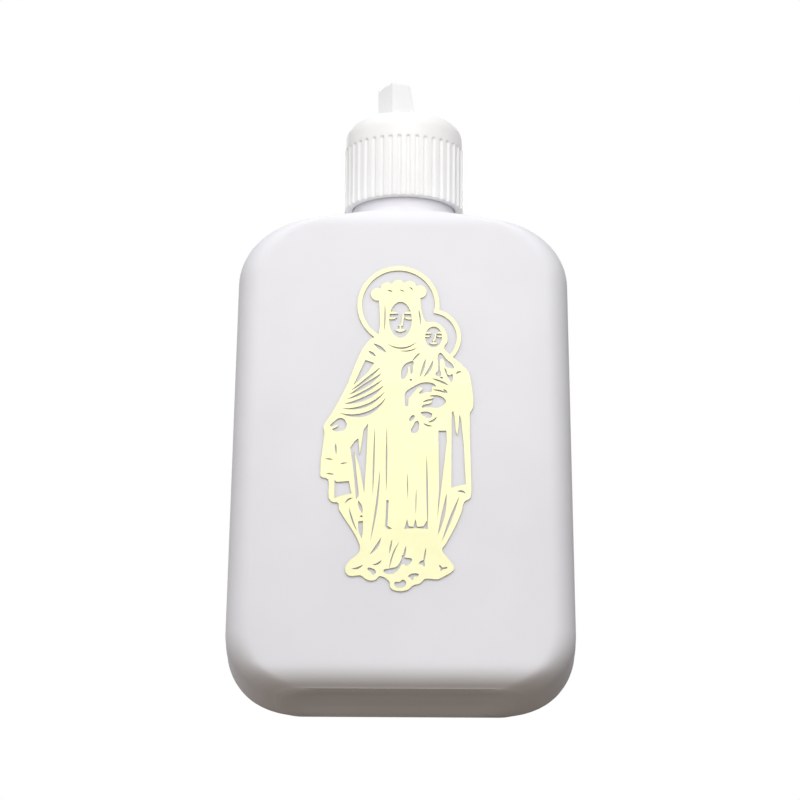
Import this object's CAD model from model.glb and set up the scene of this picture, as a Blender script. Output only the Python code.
"""Looks of a holy water bottle: white squeeze flask, ribbed cap, flip-up spout and gold figure."""
import math

import bmesh
import bpy
from mathutils import Matrix, Vector


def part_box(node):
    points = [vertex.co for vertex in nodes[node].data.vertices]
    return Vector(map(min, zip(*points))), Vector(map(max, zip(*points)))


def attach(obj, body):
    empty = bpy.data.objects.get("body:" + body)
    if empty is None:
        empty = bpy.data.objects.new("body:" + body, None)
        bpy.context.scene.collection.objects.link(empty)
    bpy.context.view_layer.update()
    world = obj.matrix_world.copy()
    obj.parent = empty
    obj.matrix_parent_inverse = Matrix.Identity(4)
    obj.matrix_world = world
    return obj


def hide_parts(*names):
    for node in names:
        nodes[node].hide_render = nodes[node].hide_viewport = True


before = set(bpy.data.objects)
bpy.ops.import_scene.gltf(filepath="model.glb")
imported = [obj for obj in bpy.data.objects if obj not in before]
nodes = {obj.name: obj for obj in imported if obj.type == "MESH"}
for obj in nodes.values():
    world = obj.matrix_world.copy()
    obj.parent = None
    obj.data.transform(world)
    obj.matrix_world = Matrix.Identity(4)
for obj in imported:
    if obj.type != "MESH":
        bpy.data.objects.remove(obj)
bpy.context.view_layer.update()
MM = 0.001

# Sizes of the flask that the frame gives
flask_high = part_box("bottle_body")[1]
BASE_WIDTH = 2 * flask_high.x
BODY_DEPTH = 2 * flask_high.y
LAND_Z = flask_high.z

# Sizes of the flask, as in the solid
TOP_WIDTH = 62.8 * MM
SHOULDER_Z = 94.5 * MM
LOWER_CORNER = 11.5 * MM
UPPER_CORNER = 12 * MM
SHOULDER_SLOPE = math.radians(12)
BASE_EDGE = 4 * MM
SIDE_ACROSS = 4.5 * MM
SIDE_DEEP = 7 * MM
PANEL_HALF = 17 * MM
FACE_FALL = 2 * MM
WALL = 1.2 * MM
BASE_HOLLOW = 0.4 * MM
HOLLOW_ROUND_SHARE = 0.8
STANDING_RING = 2.2 * MM
FOOT_INSET = 0.05 * MM
NECK_RADIUS = 9 * MM
MOUTH_RADIUS = 6.75 * MM
NECK_FLARE = 1 * MM
COLLAR_RADIUS = 9.8 * MM
COLLAR_TOP = 98 * MM
FLARE_HEIGHT = 1.2 * MM

# Cap and the channel for its spout, as in the solids
RIM_Z = 97.4 * MM
CAP_UNDER_Z = 108.5 * MM
DECK_Z = 115.2 * MM
CAP_RADIUS = 11.5 * MM
CAP_BORE = 9.9 * MM
CAP_ROUND = 3.4 * MM
RIB_COUNT = 42
RIB_HEIGHT = 12.2 * MM
GROOVE_RADIUS = 0.45 * MM
GROOVE_DEPTH = 0.4 * MM
OUTLET_RADIUS = 1.2 * MM
FOLD_DIRECTION = math.radians(127)
PIVOT_SHIFT = 1.8 * MM
PIVOT_Z = 112.9 * MM
CHANNEL_HALF = 3.3 * MM
CHANNEL_UNDER = 2.55 * MM
SADDLE_RADIUS = 2.77 * MM
PIN_HOLE_RADIUS = 1.07 * MM
PIN_HOLE_HALF = 4.5 * MM

# Moulding seam, and places across it in half widths with the share of its height there
SEAM_HALF = 0.16 * MM
SEAM_HEIGHT = 0.07 * MM
SEAM_PROFILE = ((-2.5, 0.0), (-1.0, 0.45), (0.0, 1.0), (1.0, 0.45), (2.5, 0.0))

# Softened edges: how far each point of the rounding lies in from the first face and from the second
EDGE_SOFT = 0.3 * MM
EDGE_STEPS = 4
EDGE_ANGLES = [math.radians(90 / EDGE_STEPS * k) for k in range(EDGE_STEPS + 1)]
SOFT_EDGE = [(EDGE_SOFT * (1 - math.cos(a)), EDGE_SOFT * (1 - math.sin(a))) for a in EDGE_ANGLES]
COLLAR_FILLET = 0.1 * MM
# Distance from an edge at which the plain wall beside it starts
PLAIN_START = 1 * MM

# Screw thread: its steps are to a turn, and its ends fade over a part of a turn to a share of its height
PITCH = 3.175 * MM
THREAD_TURNS = 1.5
THREAD_START_Z = 100 * MM
THREAD_STEPS = 64
THREAD_FADE = 0.14
THREAD_END_SHARE = 0.1
# How far the thread's root is sunk into the wall
THREAD_SINK = 0.1 * MM
NECK_THREAD_HEIGHT = 0.7 * MM
CAP_THREAD_HEIGHT = 0.65 * MM
# Section of the thread: share of its height where the crest starts to round, and half widths there and on
# top, in halves of the crest
FLANK_SHARE = 0.85
FLANK_WIDTH = 1.15
CREST_WIDTH = 0.8

# Points of the flask's outline
FACE_COLUMNS = 15
FACE_SHARE = 0.96
CORNER_STEPS = 10
SIDE_SHARES = (0.8, 0.55)
# Largest share of a half width that a rounded corner takes
ROUND_SHARE = 0.9

# Rings of the flask's skin, outside and inside, with angles in degrees
RIGHT_ANGLE = 90
FOOT_ANGLE = 10
LOW_STEP = 5
DISH_WIDTH = 6 * MM
HOLLOW_STEPS = 14
STRAIGHT_STEPS = 12
BEND_STEPS = 15
SLOPE_STEPS = 8
FLARE_STEPS = 6
NECK_STEPS = 4
MOUTH_STEPS = 3
FUNNEL_SHARE = 2 / 3
INNER_SLOPE_STEPS = 4
INNER_BEND_STEPS = 8
INNER_STRAIGHT_STEPS = 4
INNER_LOW_STEP = 8
INNER_LOW_END = 30

# Points of the cap's skin: places round each groove, in shares of the ribs' pitch from its middle, and rings
RIB_SHARES = (-0.36, -0.285, -0.235, -0.12, 0.0, 0.12, 0.235, 0.285, 0.36, 0.5)
UNDER_RADII = (3 * MM, 6 * MM, 9 * MM)
DECK_RADII = (7 * MM, 5 * MM, 3 * MM, 1 * MM)
BORE_STEPS = 4
RIB_STEPS = 8
GROOVE_END_STEPS = 8
BAND_STEPS = 3
DOME_STEPS = 14
SADDLE_STEPS = 24
HOLE_SIDES = 32
# How far the cuts for the channel and the outlet reach past the cap
CHANNEL_PAST = 2 * MM
OUTLET_PAST = 1 * MM

# Edges sharper than these angles, in degrees, are shaded sharp: on the flask, and on the cap and the threads
SHARP_FLASK = 40
SHARP_DETAIL = 50
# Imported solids: points nearer than the gap are joined, and edges sharper than the angle are rounded
WELD_GAP = 0.001 * MM
ROUNDED_EDGE = 35
# Faces of the foil whose normal points further to the front than this are its face
FOIL_FRONT = -0.9

half_depth_mid = BODY_DEPTH / 2
neck_root = NECK_RADIUS + NECK_FLARE
lower_x = BASE_WIDTH / 2 - LOWER_CORNER
upper_x = TOP_WIDTH / 2 - UPPER_CORNER
top_edge = half_depth_mid - neck_root
shoulder_run = upper_x + UPPER_CORNER * math.sin(SHOULDER_SLOPE) - neck_root
bend_z = SHOULDER_Z - UPPER_CORNER * math.cos(SHOULDER_SLOPE) - shoulder_run * math.tan(SHOULDER_SLOPE)
bend_turn = math.pi / 2 - SHOULDER_SLOPE
cavity_top = SHOULDER_Z - WALL
cavity_floor = BASE_HOLLOW + WALL


def mix(a, b, t):
    return a + (b - a) * t


def smoothstep(t):
    t = min(max(t, 0.0), 1.0)
    return t * t * (3 - 2 * t)


def circle_half(r, d):
    return math.sqrt(max(r * r - d * d, 0.0))


def low_z(angle):
    """Height of the point of the lower corner at an angle from its lowest one."""
    return LOWER_CORNER * (1 - math.cos(math.radians(angle)))


def slope_z(t):
    """Height at which an upper corner drawn in by t passes into the straight shoulder."""
    return bend_z + (UPPER_CORNER - t) * math.cos(SHOULDER_SLOPE)


def half_width(z, t):
    """Half width of the flask at height z, drawn in by t."""
    if z > slope_z(t):
        start = upper_x + (UPPER_CORNER - t) * math.sin(SHOULDER_SLOPE)
        return start - (z - slope_z(t)) / math.tan(SHOULDER_SLOPE)
    if z > bend_z:
        return upper_x + circle_half(UPPER_CORNER - t, z - bend_z)
    if z > LOWER_CORNER:
        return mix(BASE_WIDTH, TOP_WIDTH, (z - LOWER_CORNER) / (bend_z - LOWER_CORNER)) / 2 - t
    return lower_x + circle_half(LOWER_CORNER - t, z - LOWER_CORNER)


def half_depth(z, t):
    """Half depth of the flask at height z, drawn in by t."""
    if z > SHOULDER_Z - top_edge:
        return neck_root + circle_half(top_edge - t, z - SHOULDER_Z + top_edge)
    if z > BASE_EDGE:
        return half_depth_mid - t
    return half_depth_mid - BASE_EDGE + circle_half(BASE_EDGE - t, z - BASE_EDGE)


def fall(x):
    """How far the face falls back at x."""
    return FACE_FALL * (max(abs(x) - PANEL_HALF, 0) / (BASE_WIDTH / 2 - PANEL_HALF)) ** 2


def outline(w, h, rx, ry, seam=0.0):
    """Rounded outline, counter-clockwise from the front's left, with room for a seam on both sides."""
    cx, cy = w - rx, h - ry
    face = [cx * FACE_SHARE * (2 * k / (FACE_COLUMNS - 1) - 1) for k in range(FACE_COLUMNS)]
    side = [(w, -cy * s) for s in SIDE_SHARES]
    side += [(w + seam * rise, at * SEAM_HALF) for at, rise in SEAM_PROFILE]
    side += [(w, cy * s) for s in reversed(SIDE_SHARES)]

    def corner(x, y, start):
        angles = [math.radians(start + 90 * k / CORNER_STEPS) for k in range(CORNER_STEPS + 1)]
        return [(x + rx * math.cos(a), y + ry * math.sin(a)) for a in angles]

    half = [(x, -h) for x in face] + corner(cx, -cy, -90) + side + corner(cx, cy, 0)
    return half + [(-x, -y) for x, y in half]


def flask_ring(z, t, seam=0.0):
    """Cross-section of the flask at height z, drawn in by t."""
    w, h = half_width(z, t), half_depth(z, t)
    rise = min(max((z - bend_z) / (SHOULDER_Z - bend_z), 0), 1) ** 2
    rx = min(mix(SIDE_ACROSS, ROUND_SHARE * neck_root, rise) - t, ROUND_SHARE * w)
    ry = min(mix(SIDE_DEEP, ROUND_SHARE * neck_root, rise) - t, ROUND_SHARE * h)
    points = outline(w, h, rx, ry, seam)
    return [Vector((x, y * (1 - fall(x) / half_depth_mid), z)) for x, y in points]


def round_ring(r, z, seam=0.0):
    """Circle with its points at the same places round the neck as those of the flask."""
    corner = ROUND_SHARE * neck_root
    base = outline(neck_root, neck_root, corner, corner)
    ridge = outline(neck_root, neck_root, corner, corner, seam)
    ring = []
    for (x, y), (seam_x, _) in zip(base, ridge):
        reach = (r + abs(seam_x - x)) / math.hypot(x, y)
        ring.append(Vector((x * reach, y * reach, z)))
    return ring


def blend_rings(a, b, t):
    return [p.lerp(q, t) for p, q in zip(a, b)]


def skin(name, rings, first=None, last=None):
    """Closed mesh of quads between rings of equal length, with a middle point or one face at each end."""
    bm = bmesh.new()
    rows = [[bm.verts.new(p) for p in ring] for ring in rings]
    n = len(rows[0])
    for low, high in zip(rows, rows[1:]):
        for i in range(n):
            k = (i + 1) % n
            bm.faces.new((low[i], low[k], high[k], high[i]))
    for row, middle in ((rows[0], first), (rows[-1], last)):
        if middle is None:
            bm.faces.new(row)
            continue
        centre = bm.verts.new(middle)
        for i in range(n):
            bm.faces.new((row[i], row[(i + 1) % n], centre))
    bmesh.ops.recalc_face_normals(bm, faces=bm.faces)
    if bm.calc_volume(signed=True) < 0:
        bmesh.ops.reverse_faces(bm, faces=bm.faces)
    mesh = bpy.data.meshes.new(name)
    bm.to_mesh(mesh)
    bm.free()
    return mesh


def finish_mesh(mesh, material, sharp_angle):
    """Gives a mesh its material and smooth shading, apart from edges sharper than the angle."""
    mesh.shade_smooth()
    mesh.set_sharp_from_angle(angle=math.radians(sharp_angle))
    mesh.materials.append(material)


def link_object(name, data):
    made = bpy.data.objects.new(name, data)
    bpy.context.scene.collection.objects.link(made)
    return made


def new_object(name, mesh, material, body, sharp_angle):
    """Object on a body of the frame."""
    finish_mesh(mesh, material, sharp_angle)
    obj = link_object(name, mesh)
    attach(obj, body)
    return obj


def shader_node(tree, kind, inputs=None, **settings):
    made = tree.nodes.new(kind)
    for name, value in settings.items():
        setattr(made, name, value)
    for name, value in (inputs or {}).items():
        if isinstance(value, bpy.types.NodeSocket):
            tree.links.new(value, made.inputs[name])
        else:
            made.inputs[name].default_value = value
    return made


def new_material(name):
    made = bpy.data.materials.new(name)
    made.use_nodes = True
    tree = made.node_tree
    tree.nodes.clear()
    return made, tree


CLOUD_DETAIL = 3.0
GRAIN_DETAIL = 4.0


def noise(tree, place, scale, detail=CLOUD_DETAIL):
    return shader_node(
        tree, "ShaderNodeTexNoise", {"Vector": place, "Scale": scale, "Detail": detail}
    ).outputs["Fac"]


def ramp(tree, factor, low, high, start=0.35, end=0.65):
    """Value or colour that goes from low to high as the factor goes from start to end."""
    span = {"Value": factor, "From Min": start, "From Max": end}
    if isinstance(low, tuple):
        share = shader_node(tree, "ShaderNodeMapRange", span).outputs["Result"]
        made = shader_node(tree, "ShaderNodeValToRGB", {"Fac": share})
        made.color_ramp.elements[0].color = (*low, 1)
        made.color_ramp.elements[1].color = (*high, 1)
        return made.outputs["Color"]
    ends = {"To Min": low, "To Max": high}
    return shader_node(tree, "ShaderNodeMapRange", {**span, **ends}).outputs["Result"]


# Glow inside the plastics, and how far roughness varies over a surface
GLOW_RADIUS = (1.0, 0.95, 0.9)
GLOW_SCALE = 2.5 * MM
PLASTIC_VARIES = 0.05
GOLD_VARIES = 0.06
GOLD_CLOUD = 180.0
GOLD_GRAIN = 2600.0
GOLD_GRAIN_HEIGHT = 0.01 * MM


def plastic(name, low, high, roughness, grain, grain_height, waves, wave_height, specular, glow):
    """Moulded plastic: faintly cloudy colour, a fine grain and long shallow waves."""
    made, tree = new_material(name)
    place = shader_node(tree, "ShaderNodeTexCoord").outputs["Object"]
    cloud = noise(tree, place, waves)
    fine = noise(tree, place, grain, GRAIN_DETAIL)
    wavy = shader_node(
        tree, "ShaderNodeBump", {"Height": cloud, "Strength": 1.0, "Distance": wave_height}
    )
    grainy = shader_node(
        tree,
        "ShaderNodeBump",
        {"Height": fine, "Strength": 1.0, "Distance": grain_height, "Normal": wavy.outputs["Normal"]},
    )
    surface = shader_node(
        tree,
        "ShaderNodeBsdfPrincipled",
        {
            "Base Color": ramp(tree, cloud, low, high),
            "Roughness": ramp(tree, fine, roughness - PLASTIC_VARIES, roughness + PLASTIC_VARIES),
            "Normal": grainy.outputs["Normal"],
            "Specular IOR Level": specular,
            "Subsurface Weight": glow,
            "Subsurface Radius": GLOW_RADIUS,
            "Subsurface Scale": GLOW_SCALE,
        },
    )
    shader_node(tree, "ShaderNodeOutputMaterial", {"Surface": surface.outputs["BSDF"]})
    return made


def gold_film(name, low, high, roughness, metallic):
    """Metallised film: pale gold with a fine uneven lustre."""
    made, tree = new_material(name)
    place = shader_node(tree, "ShaderNodeTexCoord").outputs["Object"]
    cloud = noise(tree, place, GOLD_CLOUD)
    fine = noise(tree, place, GOLD_GRAIN, GRAIN_DETAIL)
    bump = shader_node(
        tree, "ShaderNodeBump", {"Height": fine, "Strength": 1.0, "Distance": GOLD_GRAIN_HEIGHT}
    )
    surface = shader_node(
        tree,
        "ShaderNodeBsdfPrincipled",
        {
            "Base Color": ramp(tree, cloud, low, high),
            "Roughness": ramp(tree, fine, roughness - GOLD_VARIES, roughness + GOLD_VARIES),
            "Metallic": metallic,
            "Normal": bump.outputs["Normal"],
        },
    )
    shader_node(tree, "ShaderNodeOutputMaterial", {"Surface": surface.outputs["BSDF"]})
    return made


flask_plastic = plastic(
    "flask_polyethylene",
    low=(0.805, 0.801, 0.837),
    high=(0.835, 0.831, 0.867),
    roughness=0.5,
    grain=900.0,
    grain_height=0.012 * MM,
    waves=45.0,
    wave_height=0.15 * MM,
    specular=0.0,
    glow=0.15,
)
cap_plastic = plastic(
    "cap_polypropylene",
    low=(0.88, 0.88, 0.88),
    high=(0.905, 0.905, 0.905),
    roughness=0.42,
    grain=1500.0,
    grain_height=0.006 * MM,
    waves=120.0,
    wave_height=0.03 * MM,
    specular=0.3,
    glow=0.15,
)
washer_foam = plastic(
    "washer_foam",
    low=(0.78, 0.78, 0.75),
    high=(0.84, 0.84, 0.81),
    roughness=0.8,
    grain=2500.0,
    grain_height=0.05 * MM,
    waves=300.0,
    wave_height=0.05 * MM,
    specular=0.2,
    glow=0.1,
)
gold_face = gold_film(
    "gold_face", low=(0.85, 0.84, 0.51), high=(0.88, 0.87, 0.55), roughness=0.5, metallic=0.25
)
gold_edge = gold_film(
    "gold_edge", low=(0.3, 0.26, 0.15), high=(0.36, 0.31, 0.19), roughness=0.55, metallic=0.2
)


def base_rings():
    """Hollow under the base, from its middle, and the ring that the bottle stands on."""
    foot_z = low_z(FOOT_ANGLE)
    hollow_x = lower_x + LOWER_CORNER * math.sin(math.radians(FOOT_ANGLE)) - STANDING_RING
    hollow_y = half_depth(foot_z, 0) - STANDING_RING
    hollow_round = HOLLOW_ROUND_SHARE * hollow_y
    rings = []
    for k in range(HOLLOW_STEPS + 1):
        t = k / HOLLOW_STEPS
        inset = DISH_WIDTH * (1 - t)
        z = BASE_HOLLOW * (1 - smoothstep(t))
        corner = hollow_round - inset
        points = outline(hollow_x - inset, hollow_y - inset, corner, corner)
        rings.append([Vector((x, y, z)) for x, y in points])
    foot = flask_ring(foot_z, FOOT_INSET, SEAM_HEIGHT)
    rings.append([Vector((p.x, p.y, 0)) for p in foot])
    return rings


def outer_rings():
    """Outside of the flask, from the foot to the root of the neck."""
    heights = [low_z(angle) for angle in range(FOOT_ANGLE, RIGHT_ANGLE + 1, LOW_STEP)]
    heights += [mix(LOWER_CORNER, bend_z, k / STRAIGHT_STEPS) for k in range(1, STRAIGHT_STEPS)]
    for k in range(BEND_STEPS + 1):
        heights.append(bend_z + UPPER_CORNER * math.sin(bend_turn * k / BEND_STEPS))
    heights += [mix(slope_z(0), SHOULDER_Z, k / SLOPE_STEPS) for k in range(1, SLOPE_STEPS + 1)]
    return [flask_ring(z, 0, SEAM_HEIGHT) for z in heights]


def neck_rings():
    """Flare, collar and neck up to the land, then the mouth down to the funnel inside."""
    shoulder = flask_ring(SHOULDER_Z, 0, SEAM_HEIGHT)
    rings = []
    for k in range(1, FLARE_STEPS + 1):
        t = k / FLARE_STEPS
        z = SHOULDER_Z + FLARE_HEIGHT * t
        r = mix(neck_root, COLLAR_RADIUS, math.sin(math.pi / 2 * t))
        square = [Vector((p.x * r / neck_root, p.y * r / neck_root, z)) for p in shoulder]
        rings.append(blend_rings(square, round_ring(r, z, SEAM_HEIGHT), smoothstep(t)))
    for first, second in SOFT_EDGE:
        rings.append(round_ring(COLLAR_RADIUS - first, COLLAR_TOP - second, SEAM_HEIGHT))
    rings.append(round_ring(NECK_RADIUS + COLLAR_FILLET, COLLAR_TOP, SEAM_HEIGHT))
    rings.append(round_ring(NECK_RADIUS, COLLAR_TOP + COLLAR_FILLET, SEAM_HEIGHT))
    for k in range(NECK_STEPS + 1):
        z = mix(COLLAR_TOP + PLAIN_START, LAND_Z - PLAIN_START, k / NECK_STEPS)
        rings.append(round_ring(NECK_RADIUS, z, SEAM_HEIGHT))
    rings += [round_ring(NECK_RADIUS - first, LAND_Z - second) for first, second in SOFT_EDGE]
    rings += [round_ring(MOUTH_RADIUS + second, LAND_Z - first) for first, second in SOFT_EDGE]
    for k in range(MOUTH_STEPS + 1):
        z = mix(LAND_Z - PLAIN_START, SHOULDER_Z + FLARE_HEIGHT, k / MOUTH_STEPS)
        rings.append(round_ring(MOUTH_RADIUS, z))
    rings.append(round_ring(mix(MOUTH_RADIUS, NECK_RADIUS, FUNNEL_SHARE), cavity_top))
    return rings


def inner_rings():
    """Inside of the flask, from under the shoulders down to its floor."""
    heights = [mix(cavity_top, slope_z(WALL), k / INNER_SLOPE_STEPS) for k in range(INNER_SLOPE_STEPS + 1)]
    for k in reversed(range(INNER_BEND_STEPS)):
        heights.append(bend_z + (UPPER_CORNER - WALL) * math.sin(bend_turn * k / INNER_BEND_STEPS))
    heights += [mix(bend_z, LOWER_CORNER, k / INNER_STRAIGHT_STEPS) for k in range(1, INNER_STRAIGHT_STEPS)]
    low_heights = [low_z(angle) for angle in range(RIGHT_ANGLE, INNER_LOW_END, -INNER_LOW_STEP)]
    heights += [z for z in low_heights if z > cavity_floor]
    heights.append(cavity_floor)
    return [flask_ring(z, WALL) for z in heights]


def make_flask():
    rings = base_rings() + outer_rings() + neck_rings() + inner_rings()
    mesh = skin("flask_skin", rings, Vector((0, 0, BASE_HOLLOW)), Vector((0, 0, cavity_floor)))
    flask = new_object("flask_skin", mesh, flask_plastic, "bottle", SHARP_FLASK)
    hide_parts("bottle_body")


def make_helix(name, root, crest, root_half, crest_half, start_z, material, body):
    """Screw thread of trapezoid section that fades out at both ends."""
    rings = []
    for k in range(int(THREAD_STEPS * THREAD_TURNS) + 1):
        turns = k / THREAD_STEPS
        near_end = min(turns, THREAD_TURNS - turns) / THREAD_FADE
        tip = mix(root, crest, mix(THREAD_END_SHARE, 1, smoothstep(near_end)))
        a = 2 * math.pi * turns
        out = Vector((math.cos(a), math.sin(a), 0))
        z = start_z + PITCH * turns
        lower = [
            (root, -root_half),
            (mix(root, tip, FLANK_SHARE), -crest_half * FLANK_WIDTH),
            (tip, -crest_half * CREST_WIDTH),
        ]
        section = lower + [(r, -dz) for r, dz in reversed(lower)]
        rings.append([out * r + Vector((0, 0, z + dz)) for r, dz in section])
    return new_object(name, skin(name, rings), material, body, SHARP_DETAIL)


def make_threads():
    neck = make_helix(
        "neck_thread",
        root=NECK_RADIUS - THREAD_SINK,
        crest=NECK_RADIUS + NECK_THREAD_HEIGHT,
        root_half=0.95 * MM,
        crest_half=0.45 * MM,
        start_z=THREAD_START_Z,
        material=flask_plastic,
        body="bottle",
    )
    cap = make_helix(
        "cap_thread",
        root=CAP_BORE + THREAD_SINK,
        crest=CAP_BORE - CAP_THREAD_HEIGHT,
        root_half=0.85 * MM,
        crest_half=0.4 * MM,
        start_z=THREAD_START_Z - PITCH / 2,
        material=cap_plastic,
        body="cap",
    )


def groove_depth(across, height):
    """Depth of a groove between two ribs, by the distance from its middle and the height above the rim."""
    above = max(height - (RIB_HEIGHT - GROOVE_RADIUS), 0)
    inside = GROOVE_RADIUS ** 2 - across ** 2 - above ** 2
    return max(math.sqrt(max(inside, 0)) - GROOVE_RADIUS + GROOVE_DEPTH, 0)


def cap_ring(r, z, grooved=False):
    """Ring of the cap's skin, with its points close together where the grooves are."""
    ring = []
    pitch = 2 * math.pi / RIB_COUNT
    for rib in range(RIB_COUNT):
        for share in RIB_SHARES:
            a = -math.pi / 2 + (rib + 0.5 + share) * pitch
            depth = groove_depth(share * pitch * CAP_RADIUS, z - RIM_Z) if grooved else 0
            ring.append(Vector(((r - depth) * math.cos(a), (r - depth) * math.sin(a), z)))
    return ring


def cap_rings():
    """Rings of the cap's skin, from the middle of its underside down the bore and up the outside."""
    rings = [cap_ring(r, CAP_UNDER_Z) for r in UNDER_RADII]
    rings += [cap_ring(CAP_BORE - second, CAP_UNDER_Z - first) for first, second in SOFT_EDGE]
    for k in range(BORE_STEPS + 1):
        z = mix(CAP_UNDER_Z - PLAIN_START, RIM_Z + PLAIN_START, k / BORE_STEPS)
        rings.append(cap_ring(CAP_BORE, z))
    rings += [cap_ring(CAP_BORE + first, RIM_Z + second) for first, second in SOFT_EDGE]
    rings += [cap_ring(CAP_RADIUS - second, RIM_Z + first, grooved=True) for first, second in SOFT_EDGE]
    full = RIB_HEIGHT - GROOVE_RADIUS
    heights = [RIM_Z + mix(PLAIN_START, full, k / RIB_STEPS) for k in range(RIB_STEPS + 1)]
    for k in range(1, GROOVE_END_STEPS + 1):
        heights.append(RIM_Z + full + GROOVE_RADIUS * k / GROOVE_END_STEPS)
    rings += [cap_ring(CAP_RADIUS, z, grooved=True) for z in heights]
    for k in range(1, BAND_STEPS):
        rings.append(cap_ring(CAP_RADIUS, mix(RIM_Z + RIB_HEIGHT, DECK_Z - CAP_ROUND, k / BAND_STEPS)))
    for k in range(DOME_STEPS + 1):
        a = math.pi / 2 * k / DOME_STEPS
        r = CAP_RADIUS - CAP_ROUND * (1 - math.cos(a))
        rings.append(cap_ring(r, DECK_Z - CAP_ROUND * (1 - math.sin(a))))
    rings += [cap_ring(r, DECK_Z) for r in DECK_RADII]
    return rings


def at_pivot(along, across, up):
    """Point given along the spout's fold, across it and up from its pivot."""
    c, s = math.cos(FOLD_DIRECTION), math.sin(FOLD_DIRECTION)
    x = PIVOT_SHIFT + along
    return Vector((x * c - across * s, x * s + across * c, PIVOT_Z + up))


def channel_rings():
    """Hollow for the folded spout: a rounded saddle under its hub and a straight floor out to the side."""
    over = DECK_Z - PIVOT_Z + CHANNEL_PAST
    out = CAP_RADIUS + CHANNEL_PAST
    floor_start = circle_half(SADDLE_RADIUS, CHANNEL_UNDER)
    arc_end = -math.atan2(CHANNEL_UNDER, floor_start)
    angles = [mix(-math.pi, arc_end, k / SADDLE_STEPS) for k in range(SADDLE_STEPS + 1)]
    profile = [(-SADDLE_RADIUS, over)]
    profile += [(SADDLE_RADIUS * math.cos(a), SADDLE_RADIUS * math.sin(a)) for a in angles]
    profile += [(out, -CHANNEL_UNDER), (out, over)]
    return [[at_pivot(x, side * CHANNEL_HALF, z) for x, z in profile] for side in (-1, 1)]


def bore_rings(r, start, end):
    """Round hole between two points."""
    way = (end - start).normalized()
    level = way.orthogonal().normalized()
    third = way.cross(level)
    angles = [2 * math.pi * k / HOLE_SIDES for k in range(HOLE_SIDES)]
    return [[p + r * (level * math.cos(a) + third * math.sin(a)) for a in angles] for p in (start, end)]


def make_cap():
    """Ribbed cap with the channel, the holes for the spout's pins and the outlet cut out of it."""
    whole_mesh = skin("cap_whole", cap_rings(), Vector((0, 0, CAP_UNDER_Z)), Vector((0, 0, DECK_Z)))
    whole = link_object("cap_whole", whole_mesh)
    pin_ends = at_pivot(0, -PIN_HOLE_HALF, 0), at_pivot(0, PIN_HOLE_HALF, 0)
    outlet_ends = at_pivot(0, 0, CAP_UNDER_Z - PIVOT_Z - OUTLET_PAST), at_pivot(0, 0, 0)
    cuts = {
        "channel_cut": channel_rings(),
        "pin_cut": bore_rings(PIN_HOLE_RADIUS, *pin_ends),
        "outlet_cut": bore_rings(OUTLET_RADIUS, *outlet_ends),
    }
    cutters = [link_object(name, skin(name, rings)) for name, rings in cuts.items()]
    for cutter in cutters:
        hole = whole.modifiers.new(cutter.name, "BOOLEAN")
        hole.operation = "DIFFERENCE"
        hole.solver = "EXACT"
        hole.object = cutter
    bpy.context.view_layer.update()
    ready = whole.evaluated_get(bpy.context.evaluated_depsgraph_get())
    mesh = bpy.data.meshes.new_from_object(ready)
    for old in [whole, *cutters]:
        old_mesh = old.data
        bpy.data.objects.remove(old)
        bpy.data.meshes.remove(old_mesh)
    mesh.name = "cap_skin"
    mesh.materials.clear()
    finish_mesh(mesh, cap_plastic, SHARP_DETAIL)
    cap = link_object("cap_skin", mesh)
    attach(cap, "cap")
    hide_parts("cap_shell")


def dress_node(name, material, bevel, segments):
    """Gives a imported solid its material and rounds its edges."""
    obj = nodes[name]
    obj.data.materials.clear()
    obj.data.materials.append(material)
    weld = obj.modifiers.new("weld", "WELD")
    weld.merge_threshold = WELD_GAP
    round_off = obj.modifiers.new("round_off", "BEVEL")
    round_off.width = bevel
    round_off.segments = segments
    round_off.limit_method = "ANGLE"
    round_off.angle_limit = math.radians(ROUNDED_EDGE)
    round_off.harden_normals = True


def dress_foil():
    """Gold on the face of the foil, and a darker tone on its cut edges."""
    mesh = nodes["foil_figure"].data
    mesh.materials.clear()
    mesh.materials.append(gold_face)
    mesh.materials.append(gold_edge)
    for face in mesh.polygons:
        face.material_index = 0 if face.normal.y < FOIL_FRONT else 1


make_flask()
make_threads()
make_cap()
dress_node("flip_spout", cap_plastic, bevel=0.25 * MM, segments=4)
dress_node("cap_liner", washer_foam, bevel=0.1 * MM, segments=2)
dress_foil()

# Camera, fitted to the photographed outline
EYE = Vector((6.04, -1165.3, -295.4)) * MM
PITCH_UP = math.radians(16.95)
YAW = math.radians(-0.32)
ROLL = math.radians(-0.40)
# Focal length in widths of the picture
FOCAL_SHARE = 6367 / 800
SENSOR = 36
CLIP_NEAR = 0.05
CLIP_FAR = 50


def make_camera():
    ahead = math.cos(PITCH_UP)
    forward = Vector((math.sin(YAW) * ahead, math.cos(YAW) * ahead, math.sin(PITCH_UP)))
    level = Vector((math.cos(YAW), -math.sin(YAW), 0))
    upright = level.cross(forward)
    right = math.cos(ROLL) * level - math.sin(ROLL) * upright
    up = math.sin(ROLL) * level + math.cos(ROLL) * upright
    data = bpy.data.cameras.new("camera")
    data.sensor_width = SENSOR
    data.lens = FOCAL_SHARE * SENSOR
    data.clip_start = CLIP_NEAR
    data.clip_end = CLIP_FAR
    camera = link_object("camera", data)
    turn = Matrix((right, up, -forward)).transposed().to_4x4()
    camera.matrix_world = Matrix.Translation(EYE) @ turn
    bpy.context.scene.camera = camera


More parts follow.
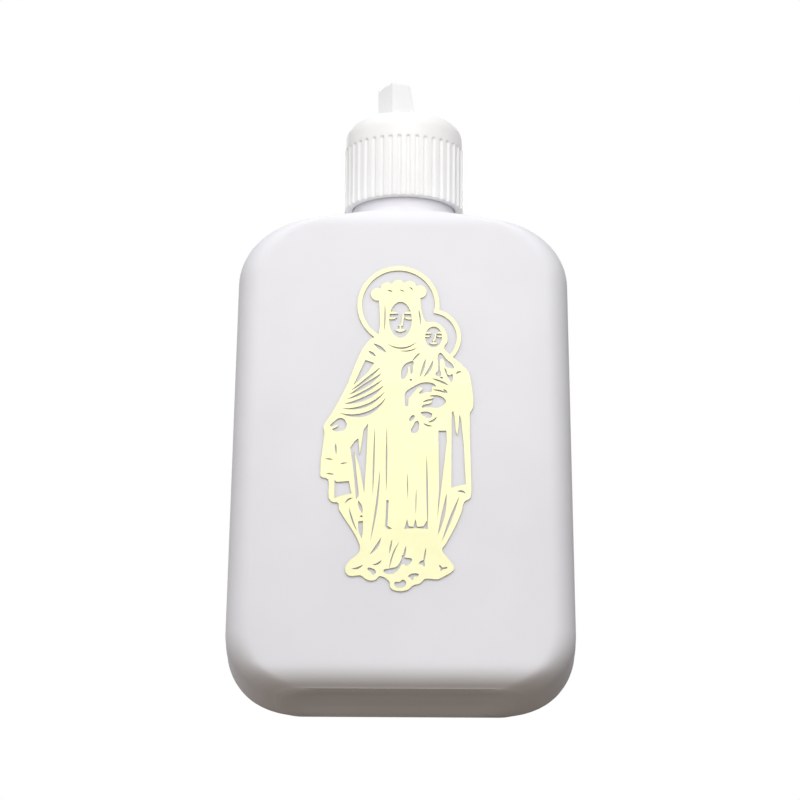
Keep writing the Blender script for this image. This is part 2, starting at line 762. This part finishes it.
def make_softbox(name, place, target, size, power):
    data = bpy.data.lights.new(name, "AREA")
    data.shape = "RECTANGLE"
    data.size, data.size_y = size
    data.energy = power
    lamp = link_object(name, data)
    lamp.location = place
    lamp.rotation_euler = (Vector(target) - Vector(place)).to_track_quat("-Z", "Y").to_euler()
    lamp.visible_camera = False


def make_lights():
    make_softbox("key_front", place=(0.02, -0.24, 0.2), target=(0, 0, 0.085), size=(0.2, 0.2), power=0.35)
    make_softbox("fill_back", place=(0, 0.8, 0.35), target=(0, 0, 0.07), size=(0.8, 0.6), power=8.5)


# Light from all round, as the diffuse surfaces get it
AMBIENT_FRONT = 0.945
AMBIENT_BACK = 0.04
AMBIENT_LOW = 0.39
BRIGHT_SIDE = (-0.26, -0.966, 0.0)
FLOOR_TINT = (1.0, 0.78, 0.58)
WHITE = (1.0, 1.0, 1.0)
# Where each change starts and ends: facing the bright side, in height, and in height for the tint
FACING_SPAN = (-0.18, 0.0)
LOW_SPAN = (-0.4, 0.4)
TINT_SPAN = (-0.9, -0.25)


def make_world():
    """Soft light, strongest from the front and weak from below, and plain white to the camera and mirrors."""
    world = bpy.data.worlds.new("studio")
    bpy.context.scene.world = world
    world.use_nodes = True
    tree = world.node_tree
    tree.nodes.clear()
    way = shader_node(tree, "ShaderNodeTexCoord").outputs["Generated"]
    facing = shader_node(tree, "ShaderNodeVectorMath", {0: way, 1: BRIGHT_SIDE}, operation="DOT_PRODUCT")
    up = shader_node(tree, "ShaderNodeSeparateXYZ", {"Vector": way}).outputs["Z"]
    front = ramp(tree, facing.outputs["Value"], AMBIENT_BACK, AMBIENT_FRONT, *FACING_SPAN)
    low = ramp(tree, up, AMBIENT_LOW, 1.0, *LOW_SPAN)
    tint = ramp(tree, up, FLOOR_TINT, WHITE, *TINT_SPAN)
    soft = shader_node(tree, "ShaderNodeMath", {0: front, 1: low}, operation="MULTIPLY")
    ambient = shader_node(tree, "ShaderNodeBackground", {"Color": tint, "Strength": soft.outputs[0]})
    white = shader_node(tree, "ShaderNodeBackground", {"Color": (*WHITE, 1), "Strength": 1.0})
    rays = shader_node(tree, "ShaderNodeLightPath").outputs
    glossy, passed = rays["Is Glossy Ray"], rays["Is Transmission Ray"]
    mirrored = shader_node(tree, "ShaderNodeMath", {0: glossy, 1: passed}, operation="MAXIMUM")
    direct = rays["Is Camera Ray"]
    seen = shader_node(tree, "ShaderNodeMath", {0: direct, 1: mirrored.outputs[0]}, operation="MAXIMUM")
    parts = {0: seen.outputs[0], 1: ambient.outputs[0], 2: white.outputs[0]}
    both = shader_node(tree, "ShaderNodeMixShader", parts)
    shader_node(tree, "ShaderNodeOutputWorld", {"Surface": both.outputs[0]})


FLOOR_HALF = 4.0
FLOOR_CLOUD = 3.0
FLOOR_LOW = (0.9, 0.9, 0.9)
FLOOR_HIGH = (0.92, 0.92, 0.92)
# Distances from the bottle's axis between which the floor fades to plain white
FADE_START = 0.12
FADE_END = 0.4


def make_floor():
    """Pale floor that fades to white away from the bottle and is clear from below, so that the base shows."""
    made, tree = new_material("floor_pale")
    place = shader_node(tree, "ShaderNodeTexCoord").outputs["Object"]
    colour = ramp(tree, noise(tree, place, FLOOR_CLOUD), FLOOR_LOW, FLOOR_HIGH)
    pale = shader_node(tree, "ShaderNodeBsdfDiffuse", {"Color": colour})
    white = shader_node(tree, "ShaderNodeEmission", {"Color": (*WHITE, 1), "Strength": 1.0})
    reach = shader_node(tree, "ShaderNodeVectorMath", {0: place}, operation="LENGTH").outputs["Value"]
    away = ramp(tree, reach, 0.0, 1.0, FADE_START, FADE_END)
    above = shader_node(tree, "ShaderNodeMixShader", {0: away, 1: pale.outputs[0], 2: white.outputs[0]})
    clear = shader_node(tree, "ShaderNodeBsdfTransparent")
    below = shader_node(tree, "ShaderNodeNewGeometry").outputs["Backfacing"]
    both = shader_node(tree, "ShaderNodeMixShader", {0: below, 1: above.outputs[0], 2: clear.outputs[0]})
    shader_node(tree, "ShaderNodeOutputMaterial", {"Surface": both.outputs[0]})
    mesh = bpy.data.meshes.new("floor")
    signs = ((-1, -1), (1, -1), (1, 1), (-1, 1))
    corners = [(x * FLOOR_HALF, y * FLOOR_HALF, 0) for x, y in signs]
    mesh.from_pydata(corners, [], [(0, 1, 2, 3)])
    mesh.materials.append(made)
    floor = link_object("floor", mesh)
    floor.visible_diffuse = False
    floor.visible_glossy = False
    floor.visible_shadow = False


make_camera()
make_lights()
make_world()
make_floor()
bpy.context.scene.view_settings.view_transform = "Standard"
